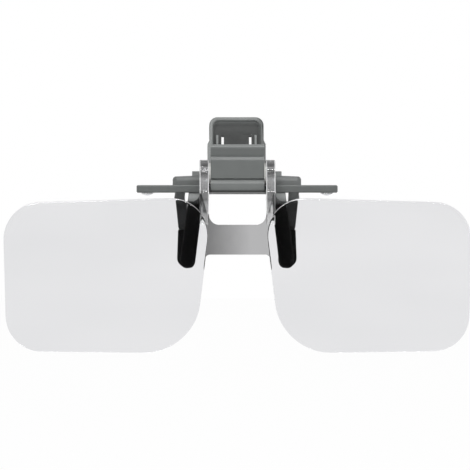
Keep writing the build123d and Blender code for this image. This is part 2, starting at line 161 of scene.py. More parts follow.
def new_cylinder(name, radius, length, middle, turn, sides=64):
    """A cylinder about a middle, with its axis turned to run across or forwards."""
    bpy.ops.object.select_all(action="DESELECT")
    bpy.ops.mesh.primitive_cylinder_add(
        vertices=sides, radius=radius, depth=length, location=middle, rotation=turn
    )
    piece = bpy.context.object
    piece.name = name
    return piece


# %% Finishing a piece


def settle():
    """Write the picked piece's place, turn and scale into its mesh."""
    bpy.ops.object.transform_apply(location=True, rotation=True, scale=True)


def done(piece, smooth_angle):
    """Close edit mode, bring the piece to metres and smooth its shading up to an angle."""
    pick(piece)
    piece.scale = (MM, MM, MM)
    settle()
    bpy.ops.object.shade_smooth_by_angle(angle=math.radians(smooth_angle))


def wear(piece, *finishes):
    """Give a piece its finishes, in the order in which its faces count them."""
    piece.data.materials.clear()
    for finish in finishes:
        piece.data.materials.append(finish)


def keep_flats_flat(piece):
    """Weigh the normals of a piece by the size of its faces."""
    weigh = piece.modifiers.new("flat faces", "WEIGHTED_NORMAL")
    weigh.keep_sharp = True
    bpy.ops.object.modifier_apply(modifier=weigh.name)


def tell(piece):
    """Print how many faces and open edges a piece has: a closed solid has no open edge."""
    mesh = bmesh.new()
    mesh.from_mesh(piece.data)
    loose = sum(len(edge.link_faces) != 2 for edge in mesh.edges)
    mesh.free()
    print(piece.name + ":", len(piece.data.polygons), "faces,", loose, "open edges")


# %% [markdown]
# ## The studio
# The photograph shows the loupe on pure white, with soft light from the front and above. A large
# soft lamp stands above and left of the camera, a weaker one to the right fills the shadows, and a
# long one high up draws the pale band along the bend of the front tab. The white comes from how
# the floor and the surroundings look to the camera, to reflections and through clear plastic. It
# adds no light, so the greys stay as they are written.

# %% Nodes for the studio and the finishes


def math_node(tree, operation, first, second):
    """A Math node; each of its inputs is a number or another node's output."""
    node = tree.nodes.new("ShaderNodeMath")
    node.operation = operation
    for socket, value in zip(node.inputs, (first, second)):
        if isinstance(value, float):
            socket.default_value = value
        else:
            tree.links.new(value, socket)
    return node.outputs[0]


def along_axis(tree, space, axis):
    """How far each point lies along an axis of a space."""
    place = tree.nodes.new("ShaderNodeTexCoord")
    split = tree.nodes.new("ShaderNodeSeparateXYZ")
    tree.links.new(place.outputs[space], split.inputs[0])
    return split.outputs[axis]


def map_range(tree, value, start, end, low=0.0):
    """A number that goes from low to 1 while a value goes from start to end."""
    node = tree.nodes.new("ShaderNodeMapRange")
    node.inputs["From Min"].default_value = start
    node.inputs["From Max"].default_value = end
    node.inputs["To Min"].default_value = low
    tree.links.new(value, node.inputs["Value"])
    return node.outputs["Result"]


def ramp(tree, value, first, last):
    """A colour that runs between two stops, each of them a position and its colour."""
    node = tree.nodes.new("ShaderNodeValToRGB")
    for stop, (position, colour) in zip(node.color_ramp.elements, (first, last)):
        stop.position = position
        stop.color = (*colour, 1.0)
    tree.links.new(value, node.inputs["Fac"])
    return node.outputs["Color"]


# %% [markdown]
# The floor and the surroundings work alike. The camera and what looks straight through clear
# plastic see plain white. A reflection sees a room instead, white behind the loupe and dim where
# the camera stands. Light that has already lit a matt surface meets a matt shader, also through
# the lenses.

# %% White for the camera
WHITE = (1.0, 1.0, 1.0)
ROOM_DIM = 0.03


def white_on_sight(tree, matt, glow, in_mirrors, share, surface):
    """Mix a share of a white glow over a matt shader, for rays that look at it straight."""
    ray = tree.nodes.new("ShaderNodeLightPath").outputs
    seen = math_node(tree, "MAXIMUM", ray["Is Camera Ray"], ray["Is Glossy Ray"])
    seen = math_node(tree, "MAXIMUM", seen, ray["Is Transmission Ray"])
    seen = math_node(tree, "MULTIPLY", seen, share)
    before_bounce = math_node(tree, "LESS_THAN", ray["Diffuse Depth"], 0.5)
    seen = math_node(tree, "MULTIPLY", seen, before_bounce)
    colour = tree.nodes.new("ShaderNodeMixRGB")
    colour.inputs["Color1"].default_value = (*WHITE, 1.0)
    tree.links.new(math_node(tree, "MINIMUM", ray["Glossy Depth"], 1.0), colour.inputs["Fac"])
    tree.links.new(in_mirrors, colour.inputs["Color2"])
    glow.inputs["Strength"].default_value = 1.0
    tree.links.new(colour.outputs["Color"], glow.inputs["Color"])
    mix = tree.nodes.new("ShaderNodeMixShader")
    tree.links.new(seen, mix.inputs["Fac"])
    tree.links.new(matt.outputs[0], mix.inputs[1])
    tree.links.new(glow.outputs[0], mix.inputs[2])
    tree.links.new(mix.outputs[0], surface)


# %% Surroundings
AMBIENT_LIGHT = 0.34
BACKDROP_START, BACKDROP_FULL = 0.30, 0.62
surroundings = bpy.data.worlds.new("studio")
bpy.context.scene.world = surroundings
surroundings.use_nodes = True
around = surroundings.node_tree
around.nodes.clear()
around_out = around.nodes.new("ShaderNodeOutputWorld")
backdrop = around.nodes.new("ShaderNodeBackground")
ambient = around.nodes.new("ShaderNodeBackground")
ambient.inputs["Color"].default_value = (*WHITE, 1.0)
ambient.inputs["Strength"].default_value = AMBIENT_LIGHT
to_the_back = map_range(around, along_axis(around, "Generated", "Y"), -1.0, 1.0)
dim_side, white_side = (BACKDROP_START, (ROOM_DIM,) * 3), (BACKDROP_FULL, WHITE)
room = ramp(around, to_the_back, dim_side, white_side)
white_on_sight(around, ambient, backdrop, room, 1.0, around_out.inputs["Surface"])
print("light from all round:", AMBIENT_LIGHT)

# %% Floor
FLOOR_SIZE, FLOOR_DROP = 4.0, 36 * MM
PAPER_GREY, PAPER_ROUGH, PAPER_SHARE = (0.75, 0.75, 0.75), 0.9, 0.98
SHEET_START, SHEET_FULL = -0.10, 0.05
bpy.ops.object.select_all(action="DESELECT")
bpy.ops.mesh.primitive_plane_add(size=FLOOR_SIZE, location=(0, 0, model_low.z - FLOOR_DROP))
floor = bpy.context.object
floor.name = "floor"
settle()
white_paper = bpy.data.materials.new("white_paper")
white_paper.use_nodes = True
paper = white_paper.node_tree
sheet = paper.nodes["Principled BSDF"]
sheet.inputs["Base Color"].default_value = (*PAPER_GREY, 1.0)
sheet.inputs["Roughness"].default_value = PAPER_ROUGH
glow = paper.nodes.new("ShaderNodeEmission")
# To a reflection, the white sheet only begins under the loupe, and the table before it is dim.
sheet_white = map_range(
    paper, along_axis(paper, "Object", "Y"), SHEET_START, SHEET_FULL, low=ROOM_DIM
)
paper_surface = paper.nodes["Material Output"].inputs["Surface"]
white_on_sight(paper, sheet, glow, sheet_white, PAPER_SHARE, paper_surface)
floor.data.materials.append(white_paper)
print("floor:", round(FLOOR_DROP / MM), "mm under the loupe")

# %% Lamps
LOUPE_MIDDLE = Vector((0, 0, 6 * MM))


def soft_lamp(name, place, width, depth, power):
    """A rectangular lamp at a place in metres, turned towards the middle of the loupe."""
    light = bpy.data.lights.new(name, "AREA")
    light.shape = "RECTANGLE"
    light.size = width
    light.size_y = depth
    light.energy = power
    lamp = put_in_scene(name, light)
    lamp.location = place
    lamp.rotation_euler = (LOUPE_MIDDLE - lamp.location).to_track_quat("-Z", "Y").to_euler()
    print(name, "shines with", power, "watts")


soft_lamp("key_lamp", Vector((-0.25, -0.55, 0.85)), 0.45, 0.30, 4.5)
soft_lamp("fill_lamp", Vector((0.70, -0.65, 0.15)), 0.50, 0.50, 1.4)
soft_lamp("band_lamp", Vector((0.0, -0.84, 0.54)), 0.80, 0.08, 4.6)

# %% [markdown]
# ## The camera
# The loupe was photographed straight on, from far away with a long lens. The front of the clip sits
# half a millimetre to the right of its back, so the camera stood about one degree to the left. It
# also stood a touch higher than the loupe.

# %% Camera
CAMERA_FAR, CAMERA_TURN, CAMERA_RISE = 1.1, 1.0, 0.6
AIM = Vector((-0.47 * MM, 0, 6.35 * MM))
PICTURE_WIDTH, SENSOR_WIDTH = 113.4 * MM, 36.0
turn, rise = math.radians(CAMERA_TURN), math.radians(CAMERA_RISE)
away = Vector((-math.sin(turn) * math.cos(rise), -math.cos(turn) * math.cos(rise), math.sin(rise)))
camera_data = bpy.data.cameras.new("camera")
camera_data.sensor_width = SENSOR_WIDTH
camera_data.lens = SENSOR_WIDTH * CAMERA_FAR / PICTURE_WIDTH
camera = put_in_scene("camera", camera_data)
camera.location = AIM + away * CAMERA_FAR
camera.rotation_euler = (-away).to_track_quat("-Z", "Y").to_euler()
bpy.context.scene.camera = camera
bpy.context.scene.view_settings.view_transform = "Standard"
print("lens of the camera:", round(camera_data.lens), "mm")

# %% [markdown]
# ## Finishes
# Every finish reads its patterns at the place of each point of the object in metres, so they are
# the right size: one divided by a noise's scale is about the size of its grains. A colour or a
# number that is the same all over is set on the shader itself. Only what varies comes from nodes.

# %% Helpers for the finishes
NOISE_LOW, NOISE_HIGH = 0.3, 0.7


def new_finish(name):
    """A material and its shader, ready for patterns."""
    finish = bpy.data.materials.new(name)
    finish.use_nodes = True
    return finish, finish.node_tree.nodes["Principled BSDF"]


def grain(finish, scale, detail, stretch=(1, 1, 1)):
    """A noise whose grains are about 1 / scale metres, longer where stretch is under 1."""
    tree = finish.node_tree
    place = tree.nodes.new("ShaderNodeTexCoord")
    mapping = tree.nodes.new("ShaderNodeMapping")
    mapping.inputs["Scale"].default_value = stretch
    noise = tree.nodes.new("ShaderNodeTexNoise")
    noise.inputs["Scale"].default_value = scale
    noise.inputs["Detail"].default_value = detail
    tree.links.new(place.outputs["Object"], mapping.inputs["Vector"])
    tree.links.new(mapping.outputs[0], noise.inputs["Vector"])
    return noise.outputs["Fac"]


def spread(finish, value, low, high, channel):
    """Turn a noise into a colour or a number between low and high, for one channel."""
    tree = finish.node_tree
    low, high = (shade if isinstance(shade, tuple) else (shade,) * 3 for shade in (low, high))
    shade = ramp(tree, value, (NOISE_LOW, low), (NOISE_HIGH, high))
    tree.links.new(shade, tree.nodes["Principled BSDF"].inputs[channel])


def relief(finish, value, depth):
    """Raise and sink the surface by a noise, depth in millimetres."""
    tree = finish.node_tree
    bump = tree.nodes.new("ShaderNodeBump")
    bump.inputs["Distance"].default_value = depth * MM
    tree.links.new(value, bump.inputs["Height"])
    tree.links.new(bump.outputs["Normal"], tree.nodes["Principled BSDF"].inputs["Normal"])


def fade(finish, direction, start, end, colour):
    """Fade a finish into another colour along a direction, from start to end in millimetres."""
    tree = finish.node_tree
    shade = tree.nodes["Principled BSDF"].inputs["Base Color"]
    place = tree.nodes.new("ShaderNodeTexCoord")
    along = tree.nodes.new("ShaderNodeVectorMath")
    along.operation = "DOT_PRODUCT"
    along.inputs[1].default_value = direction
    tree.links.new(place.outputs["Object"], along.inputs[0])
    mix = tree.nodes.new("ShaderNodeMixRGB")
    mix.inputs["Color2"].default_value = (*colour, 1.0)
    share = map_range(tree, along.outputs["Value"], start * MM, end * MM)
    tree.links.new(share, mix.inputs["Fac"])
    tree.links.new(shade.links[0].from_socket, mix.inputs["Color1"])
    tree.links.new(mix.outputs["Color"], shade)


# %% [markdown]
# ### Grey moulded plastic
# Both jaws are moulded in a neutral grey with a matt, spark-worn skin. Up close its colour is
# slightly cloudy, and the grain of the mould breaks up the gloss. The rear jaw is set a shade paler
# than the front one, as painted light for the light its shoulders catch, and the rim of its tab
# carries paler painted light still. The hollow of that tab is rougher, and painted darker as
# painted shade, and the fingers are painted dark too, as the painted shade they stand in behind the
# lenses.

# %% Grey plastic of the two jaws


def grey_plastic(name, darker, lighter, gloss_low, gloss_high):
    """Matt moulded plastic between two shades, with the fine grain of its mould."""
    finish, shader = new_finish(name)
    clouds = grain(finish, 260.0, 4.0)
    spread(finish, clouds, darker, lighter, "Base Color")
    skin = grain(finish, 5200.0, 2.0)
    spread(finish, skin, gloss_low, gloss_high, "Roughness")
    relief(finish, skin, 0.010)
    shader.inputs["IOR"].default_value = 1.5
    return finish


front_grey = grey_plastic(
    "front_jaw_grey", (0.122, 0.130, 0.127), (0.136, 0.145, 0.142), 0.32, 0.42
)
# The rear jaw is set paler than the front one: painted light for how its shoulders catch the lamps.
rear_grey = grey_plastic(
    "rear_jaw_grey", (0.138, 0.146, 0.144), (0.154, 0.162, 0.160), 0.46, 0.56
)
rim_painted_light_grey = grey_plastic(
    "rear_rim_painted_light_grey", (0.166, 0.175, 0.172), (0.182, 0.191, 0.188), 0.46, 0.56
)
recess_painted_shade_grey = grey_plastic(
    "rear_recess_painted_shade_grey", (0.034, 0.036, 0.0355), (0.044, 0.047, 0.046), 0.60, 0.75
)
finger_painted_shade_grey = grey_plastic(
    "finger_dark_grey_painted_shade", (0.015, 0.016, 0.016), (0.024, 0.025, 0.025), 0.50, 0.64
)

# %% Where the grey plastic changes its shade
LEFT, RIGHT, UP, DOWN = (-1, 0, 0), (1, 0, 0), (0, 0, 1), (0, 0, -1)
DOWN_THE_LIP = (0, -0.35, -0.94)
# The tip of the front tab is painted paler, as painted light on a face that looks down, and the
# underside of the lip is painted darker, as painted shade.
fade(front_grey, UP, 25.2, 25.9, (0.160, 0.170, 0.167))
fade(front_grey, DOWN_THE_LIP, -13.66, -13.36, (0.044, 0.047, 0.046))
# The rear tab leans back by 17 degrees. Its hollow is painted a little paler near its top, as
# painted light, and its walls are painted paler from the floor up to the rim, as painted light
# against the shade under the rim.
TAB_LEAN = math.radians(17)
OUT_OF_TAB = (0, -math.cos(TAB_LEAN), math.sin(TAB_LEAN))
UP_THE_TAB = (0, math.sin(TAB_LEAN), math.cos(TAB_LEAN))
fade(recess_painted_shade_grey, UP_THE_TAB, 31.0, 34.0, (0.052, 0.055, 0.054))
fade(recess_painted_shade_grey, OUT_OF_TAB, 2.16, 2.6, (0.220, 0.231, 0.228))
# The rim is painted pale along its left side, as painted light from the left, and painted darker
# along its right side, as painted shade.
fade(rim_painted_light_grey, RIGHT, 4.8, 5.8, (0.086, 0.091, 0.089))
fade(rim_painted_light_grey, LEFT, 5.7, 6.1, (0.200, 0.211, 0.208))
# The fingers are painted dark as painted shade, which ends in a soft edge just under the bar, where
# their roots are painted pale, as painted light against the bar's shadow.
fade(finger_painted_shade_grey, UP, 13.6, 15.6, (0.280, 0.293, 0.289))

# %% [markdown]
# ### Clear acrylic
# The lens moulding is clear with a breath of grey. The colour of a see-through shader is the tint
# after light has gone in through one skin and out through the other. A trace of haze, slightly
# uneven, keeps the plastic from looking like optical glass.

# %% Clear acrylic of the lenses
ACRYLIC_IOR = 1.49
clear_acrylic, acrylic_shader = new_finish("lens_clear_acrylic")
acrylic_clouds = grain(clear_acrylic, 45.0, 1.0, (0.5, 1, 1.8))
acrylic_low, acrylic_high = (0.822, 0.824, 0.838), (0.858, 0.858, 0.871)
spread(clear_acrylic, acrylic_clouds, acrylic_low, acrylic_high, "Base Color")
acrylic_shader.inputs["Transmission Weight"].default_value = 1.0
acrylic_shader.inputs["IOR"].default_value = ACRYLIC_IOR
haze = grain(clear_acrylic, 90.0, 2.0)
spread(clear_acrylic, haze, 0.015, 0.03, "Roughness")

# %% [markdown]
# The bridge and the ears are the same moulding, but their skin is satin and they look smoky. The
# bridge is painted darker towards its left side, as painted shade, and the ears are painted darker
# towards their foot, as painted shade for the dark parts seen through them. A ramp along one axis
# of the object gives each this painted shade, and a noise breaks it up. The head of each ear, round
# the pin, is painted darkest, and a painted dark streak crosses its neck. The thin rounds along the
# edges of the ears carry a painted highlight, and stand out as pale lines.

# %% Satin acrylic of the bridge and the ears, with painted shade
CLOUD_SHARE = 0.16
SATIN_START, SATIN_END = 0.08, 1.0
BLUISH = 1.01


def satin_acrylic_painted_shade(name, axis, start, end, first, last, rough_low, rough_high, clear=1.0):
    """Smoky clear plastic with painted shade that runs from first to last along an axis, in
    millimetres.
    """
    finish, shader = new_finish(name)
    tree = finish.node_tree
    shader.inputs["Transmission Weight"].default_value = clear
    shader.inputs["IOR"].default_value = ACRYLIC_IOR
    clouds = grain(finish, 420.0, 3.0)
    uneven = tree.nodes.new("ShaderNodeMath")
    uneven.operation = "MULTIPLY_ADD"
    uneven.inputs[1].default_value = CLOUD_SHARE
    along = map_range(tree, along_axis(tree, "Object", axis), start * MM, end * MM)
    tree.links.new(clouds, uneven.inputs[0])
    tree.links.new(along, uneven.inputs[2])
    first_stop = (SATIN_START, (first, first, first * BLUISH))
    last_stop = (SATIN_END, (last, last, last * BLUISH))
    shade = ramp(tree, uneven.outputs[0], first_stop, last_stop)
    tree.links.new(shade, shader.inputs["Base Color"])
    spread(finish, clouds, rough_low, rough_high, "Roughness")
    return finish


bridge_painted_shade_acrylic = satin_acrylic_painted_shade("bridge_satin_acrylic_painted_shade", "X", -7, 4, 0.22, 0.50, 0.10, 0.18)
ear_painted_shade_acrylic = satin_acrylic_painted_shade("ear_acrylic_painted_shade", "Z", 7, 12, 0.50, 0.86, 0.04, 0.09, 0.80)
# The painted dark streak across the neck has a lower and an upper edge, and the painted dark head
# begins above it.
fade(ear_painted_shade_acrylic, DOWN, -17.3, -16.8, (0.52, 0.52, 0.526))
fade(ear_painted_shade_acrylic, DOWN, -14.9, -14.1, (0.86, 0.86, 0.868))
fade(ear_painted_shade_acrylic, UP, 19.9, 20.7, (0.34, 0.34, 0.345))

# %% Painted highlight along the edges of the ears
ear_edge_painted_highlight, edge_shader = new_finish("ear_edge_acrylic_painted_highlight")
edge_clouds = grain(ear_edge_painted_highlight, 500.0, 2.0)
spread(ear_edge_painted_highlight, edge_clouds, (0.80, 0.80, 0.81), (0.92, 0.92, 0.93), "Base Color")
edge_shader.inputs["Transmission Weight"].default_value = 0.35
edge_shader.inputs["IOR"].default_value = ACRYLIC_IOR
edge_shader.inputs["Roughness"].default_value = 0.25

# %% [markdown]
# ### Black rubber
# The sleeves are soft black rubber that takes almost no highlight. A fine grain and faint dust
# give it a skin.

# %% Black rubber of the sleeves
black_rubber, rubber_shader = new_finish("sleeve_black_rubber")
dust = grain(black_rubber, 700.0, 5.0)
spread(black_rubber, dust, (0.0020, 0.0020, 0.0021), (0.0042, 0.0042, 0.0044), "Base Color")
rubber_skin = grain(black_rubber, 4200.0, 3.0)
spread(black_rubber, rubber_skin, 0.72, 0.90, "Roughness")
relief(black_rubber, rubber_skin, 0.02)
rubber_shader.inputs["Specular IOR Level"].default_value = 0.10

# %% [markdown]
# ### Steel
# The two pins are ground steel: fine lines run round them, so the pattern is squeezed along the
# pin. The spring's drawn wire is duller.

# %% Steel of the pins and the spring


def steel(name, low, high, scale, stretch, rough_low, rough_high):
    """Metal between two shades with fine lines or a dull drawn skin."""
    finish, shader = new_finish(name)
    shader.inputs["Metallic"].default_value = 1.0
    lines = grain(finish, scale, 3.0, stretch)
    spread(finish, lines, low, high, "Base Color")
    spread(finish, lines, rough_low, rough_high, "Roughness")
    relief(finish, lines, 0.003)
    return finish


ground_steel = steel(
    "pin_ground_steel", (0.50, 0.50, 0.49), (0.62, 0.62, 0.61), 900.0, (12, 1, 1), 0.18, 0.32
)
wire_steel = steel(
    "spring_wire_steel", (0.40, 0.40, 0.40), (0.56, 0.56, 0.55), 2600.0, (1, 1, 1), 0.28, 0.42
)

# %% [markdown]
# ### White nylon and clear silicone
# A thin nylon washer sits between each ear and the barrel: milky, waxy and a little uneven. The
# two pads under the brow bar are soft clear silicone, which is cloudier than the acrylic.

# %% Nylon of the washers
white_nylon, nylon_shader = new_finish("washer_white_nylon")
nylon_clouds = grain(white_nylon, 900.0, 3.0)
spread(white_nylon, nylon_clouds, (0.60, 0.60, 0.58), (0.70, 0.70, 0.68), "Base Color")
spread(white_nylon, nylon_clouds, 0.42, 0.55, "Roughness")
nylon_shader.inputs["Subsurface Weight"].default_value = 0.2
nylon_shader.inputs["Subsurface Radius"].default_value = (0.4 * MM, 0.4 * MM, 0.4 * MM)

# %% Silicone of the bar pads
clear_silicone, silicone_shader = new_finish("pad_clear_silicone")
silicone_shader.inputs["Base Color"].default_value = (0.88, 0.89, 0.90, 1.0)
silicone_shader.inputs["Transmission Weight"].default_value = 0.70
silicone_shader.inputs["IOR"].default_value = 1.41
silicone_clouds = grain(clear_silicone, 1400.0, 3.0)
spread(clear_silicone, silicone_clouds, 0.18, 0.34, "Roughness")
print("finishes:", ", ".join(sorted(material.name for material in bpy.data.materials)))

# %% [markdown]
# ## The two grey jaws
# A moulded part has no knife edges: the mould leaves a small round on each one, and that round
# catches the light as a thin line. The measured jaws have the right shape, so each is copied, its
# loose triangles are merged and its flat faces made whole again. Then a small bevel goes round
# every sharp edge, and normals weighted by area keep the flats flat.

# %% Rounding the edges of a jaw
JAW_ROUND, JAW_STEPS, JAW_SHARP = 0.12, 3, 40
SAME_POINT = 0.001


def measured_copy(node, name):
    """A copy of a measured part in millimetres, its loose triangles merged, in edit mode."""
    piece = put_in_scene(name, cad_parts[node].data.copy())
    piece.data.transform(Matrix.Scale(1 / MM, 4))
    edit(piece, "VERT")
    merge_points(SAME_POINT)
    return piece


def rounded_copy(node, name, finishes, reshape, finish_of):
    """A copy of a measured part, in place, reshaped, with a small round on each sharp edge."""
    piece = measured_copy(node, name)
    bpy.ops.mesh.dissolve_limited(angle_limit=math.radians(1.0), delimit=set())
    reshape(piece)
    pick(piece)
    wear(piece, *finishes)
    for face in piece.data.polygons:
        face.material_index = finish_of(face.center)
    bevel = piece.modifiers.new("edge round", "BEVEL")
    bevel.width = JAW_ROUND
    bevel.segments = JAW_STEPS
    bevel.limit_method = "ANGLE"
    bevel.angle_limit = math.radians(JAW_SHARP)
    bevel.use_clamp_overlap = True
    bevel.miter_outer = "MITER_ARC"
    bpy.ops.object.modifier_apply(modifier=bevel.name)
    done(piece, JAW_SHARP)
    keep_flats_flat(piece)
    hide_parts(node)
    tell(piece)
    return piece


# %% [markdown]
# The lower half of the front tab is a little thicker than its tip. Its top edge is a soft ramp that
# faces up and catches the light as the pale band across the tab, and its lower edge overhangs the
# lip, which leaves a thin shadow there. On the copy, the flat front and the bend above it are inset
# as one region and pulled forwards. The lip itself is fuller than a plain round: its front leans
# out a little towards the bottom and turns under in a tight curve.

# %% The thicker half of the front tab
# In millimetres: the tab's front and the heights between which it is pulled forwards, then how
# far forwards, and where the ramp starts and ends.
TAB_FACE, TAB_LOW, TAB_HIGH = -6.594, 21, 25.4
TAB_BORDER = 0.10
TAB_THICKER = 7.2
RAMP_FOOT, RAMP_TOP = 24.45, 6.94
LIP_MIDDLE, LIP_ROUND = (-5.944, 17.95), 1.4
LIP_TOP, LIP_SIDE = 19.0, 6.5
LIP_FULLNESS, LIP_LEAN = 0.6, 0.11
FINGER_INSIDE, FRONT_FINGER_TOP = 8, 16.5


def on_the_bend(face):
    """Whether a face is on the flat front of the tab or on the bend above it."""
    middle = face.calc_center_median()
    facing_us = face.normal.y < -0.9 and TAB_FACE - 0.4 < middle.y < TAB_FACE + 0.01
    return facing_us and TAB_LOW < middle.z < TAB_HIGH


def on_the_lip(place):
    """Whether a place is on the front of the lip."""
    return place.y < LIP_MIDDLE[0] and place.z < LIP_TOP and abs(place.x) < LIP_SIDE


def thicken_front_tab(piece):
    """Pull the lower front of the tab forwards, with a ramp back to the tip."""
    edit(piece, "FACE")
    choose(piece, on_the_bend)
    bpy.ops.mesh.inset(thickness=TAB_BORDER)
    mesh = bmesh.from_edit_mesh(piece.data)
    front = [point for point in mesh.verts if point.select]
    top = max(point.co.z for point in front)
    for point in front:
        up_the_ramp = max(0, point.co.z - RAMP_FOOT) / (top - RAMP_FOOT)
        point.co.y = -TAB_THICKER + (TAB_THICKER - RAMP_TOP) * up_the_ramp
    lip = [point for point in mesh.verts if on_the_lip(point.co)]
    for point in lip:
        out, down = LIP_MIDDLE[0] - point.co.y, LIP_MIDDLE[1] - point.co.z
        if down > 0:
            turned = math.atan2(down, out)
            point.co.y = LIP_MIDDLE[0] - LIP_ROUND * math.cos(turned) ** LIP_FULLNESS
            point.co.z = LIP_MIDDLE[1] - LIP_ROUND * math.sin(turned) ** LIP_FULLNESS
        point.co.y -= LIP_LEAN * (LIP_TOP - point.co.z)
    bmesh.update_edit_mesh(piece.data)
    print("raised face of the front tab:", len(front), "points, fuller lip:", len(lip), "points")


def front_finish(middle):
    """Which finish a face of the front jaw has: 1 for a finger."""
    return 1 if middle.z < FRONT_FINGER_TOP and abs(middle.x) > FINGER_INSIDE else 0


# %% [markdown]
# The rear tab is a shallow dish: a raised rim round a floor with two slots. The inner corners of
# the rim are round, both its edges are soft and its foot runs out into the floor. Distances on a
# leaning tab are easiest along the tab and into it, so a point is measured in those directions.
# Lower down, the top edge of the shoulders behind the bar is soft too, and the fingers bow
# outwards a little above their sleeves.

# %% The soft rim of the rear tab
RIM_FACE, DISH_FLOOR = -3.345, -2.147
DISH_SIDE, DISH_TOP, DISH_CORNER, DISH_FOOT = 5.65, 34.52, 1.3, 23.7
RIM_SIDE, RIM_TOP, RIM_CORNER, RIM_FOOT = 6.6, 35.47, 2.0, 29.4
SHOULDER_EDGE, SHOULDER_ROUND = (0.25, 20.5), 1.1
ARM_FOOT, ARM_ROOT, ARM_EASE, ARM_BOW = 6.5, 16.4, 1.5, 0.38
NEAR = 0.02


def into_tab(point):
    """How far a point lies behind the plane through the origin that leans like the rear tab."""
    return point.y * math.cos(TAB_LEAN) - point.z * math.sin(TAB_LEAN)


def up_tab(point):
    """How far up the leaning rear tab a point lies."""
    return point.y * math.sin(TAB_LEAN) + point.z * math.cos(TAB_LEAN)


def on_outline(point, side, top, corner, foot):
    """Whether a point lies on an upright outline of the tab with two round upper corners."""
    across, up = abs(point.x), up_tab(point)
    on_side = abs(across - side) < NEAR and foot - 0.1 < up < top - corner + NEAR
    on_top = abs(up - top) < NEAR and across < side - corner + NEAR
    from_corner = (across - side + corner, up - top + corner)
    on_corner = min(from_corner) > -NEAR and abs(math.hypot(*from_corner) - corner) < 0.05
    return on_side or on_top or on_corner


def in_corner(place):
    """Whether a place is in one of the dish's two upper corners."""
    return abs(abs(place.x) - DISH_SIDE) < NEAR and abs(up_tab(place) - DISH_TOP) < NEAR


def on_shoulder(place):
    """Whether a place is on the front top edge of the shoulders behind the bar."""
    return abs(place.y - SHOULDER_EDGE[0]) < NEAR and abs(place.z - SHOULDER_EDGE[1]) < NEAR


def soften_dish(piece):
    """Round the rim's inner corners and edges, slope its walls, and finish shoulders and arms."""
    edit(piece, "EDGE")
    choose(
        piece,
        lambda edge: all(in_corner(point.co) for point in edge.verts) and edge.calc_length() < 2,
    )
    soften(DISH_CORNER, 7)
    inner = (DISH_SIDE, DISH_TOP, DISH_CORNER, DISH_FOOT)
    outer = (RIM_SIDE, RIM_TOP, RIM_CORNER, RIM_FOOT)
    foot = Vector((0, 0, 0))
    # Each row of edges has a depth and an outline. It is stretched away from the foot and rounded.
    for depth, outline, stretch, width in (
        (RIM_FACE, outer, 1.0095, 0.45),
        (RIM_FACE, inner, 1.0, 0.40),
        (DISH_FLOOR, inner, 0.955, 0.45),
    ):
        choose_edges(
            piece,
            lambda place: abs(into_tab(place) - depth) < NEAR and on_outline(place, *outline),
        )
        row = [edge for edge in bmesh.from_edit_mesh(piece.data).edges if edge.select]
        print("edges round the rim:", len(row))
        foot.y = depth * math.cos(TAB_LEAN) + DISH_FOOT * math.sin(TAB_LEAN)
        foot.z = DISH_FOOT * math.cos(TAB_LEAN) - depth * math.sin(TAB_LEAN)
        bpy.ops.transform.resize(value=(1, stretch, stretch), center_override=foot)
        soften(width, 4)
    choose_edges(piece, on_shoulder)
    soften(SHOULDER_ROUND, 5)
    mesh = bmesh.from_edit_mesh(piece.data)
    arms = [point for point in mesh.verts if abs(point.co.x) > FINGER_INSIDE]
    bowed = [point for point in arms if ARM_FOOT < point.co.z < ARM_ROOT]
    for point in bowed:
        up, down = point.co.z - ARM_FOOT, ARM_ROOT - point.co.z
        share = min(1, up / ARM_EASE, down / ARM_EASE)
        point.co.x += math.copysign(ARM_BOW * share, point.co.x)
    bmesh.update_edit_mesh(piece.data)
    print("bowed rear fingers:", len(bowed), "points")


def rear_finish(middle):
    """Which finish a face of the rear jaw has: 1 in the dish, 2 for a finger, 3 on the rim."""
    up, deep = up_tab(middle), into_tab(middle)
    in_dish = abs(middle.x) < DISH_SIDE + 0.01 and DISH_FOOT - 0.3 < up < DISH_TOP + 0.01
    if in_dish and RIM_FACE + NEAR < deep < DISH_FLOOR + 0.4:
        return 1
    if up > DISH_FOOT + 0.3 and deep < RIM_FACE + 0.3 and middle.y > 0:
        return 3
    return 2 if middle.z < ARM_ROOT and abs(middle.x) > FINGER_INSIDE else 0


# %% The two jaws
front_finishes = [front_grey, finger_painted_shade_grey]
rear_finishes = [rear_grey, recess_painted_shade_grey, finger_painted_shade_grey, rim_painted_light_grey]
front_shell = rounded_copy(
    "front_jaw", "front_jaw_rounded", front_finishes, thicken_front_tab, front_finish
)
rear_shell = rounded_copy(
    "rear_jaw", "rear_jaw_rounded", rear_finishes, soften_dish, rear_finish
)
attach(front_shell, "front")
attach(rear_shell, "rear")

# %% [markdown]
# ## The twin lens
# The lenses, the bridge and the ears are one clear moulding. Clear plastic shows every wall that
# it hides, so the moulding has to be one closed skin, with no wall inside it. Each part is drawn as
# a flat outline with rounded corners and given its thickness. The lens front is then domed, and the
# parts are joined into one solid.

# %% Sizes of the twin lens, in millimetres
PLATE_BACK, PLATE_FRONT = -8.0, -9.45
DOME_TOP, DOME_RADIUS, DOME_MIDDLE = -11.2, 280.0, (31.5, -3.2)
LENS_CORNERS = [(5.9, 15.6), (56.24, 14.1), (55.3, -21.3), (10.35, -21.87)]
LENS_ROUNDS = [9.2, 9.0, 8.6, 13.2]
EAR_INNER, EAR_OUTER, EAR_RADIUS = 6.85, 9.1, 3.2
PIN_MIDDLE, BORE_RADIUS = (-4.6942, 21.25), 1.04
RIM_ROUND, EAR_ROUND, BRIDGE_ROUND = 0.35, 0.22, 0.3

# %% [markdown]
# A flat outline starts as a ring of as many points as it has corners. Each point is moved to its
# corner, and a bevel on that one point turns the corner into an arc. How far the bevel reaches
# along the edges follows from the corner's angle and the radius wanted.

